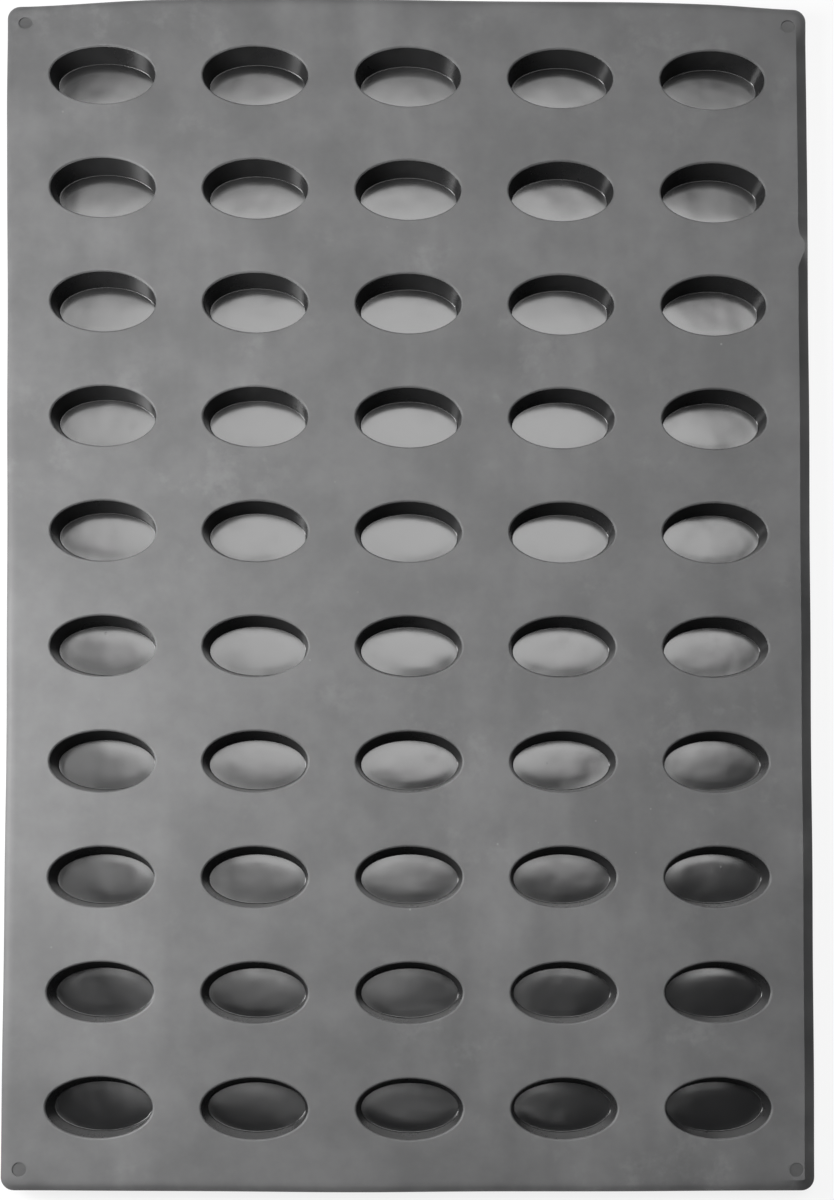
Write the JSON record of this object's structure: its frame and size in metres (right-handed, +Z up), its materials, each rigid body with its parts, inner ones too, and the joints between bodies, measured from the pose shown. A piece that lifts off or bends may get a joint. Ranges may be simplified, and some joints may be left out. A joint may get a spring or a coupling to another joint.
{
  "type": "oval silicone baking mould",
  "caption": "Flexible silicone baking mould: a flat rectangular sheet with a grid of shallow oval cups and a bevelled rim.",
  "frame": {"origin": "middle of the plane that the undersides of the cups stand on", "axes": "+Z up out of the cups, +Y along the sheet's long side, +X along each cup's long axis"},
  "size_m": [0.4, 0.595, 0.014],
  "materials": {
    "silicone": "satin"
  },
  "bodies": {
    "root": {"oval_baking_mould": "silicone"}
  },
  "joints": []
}
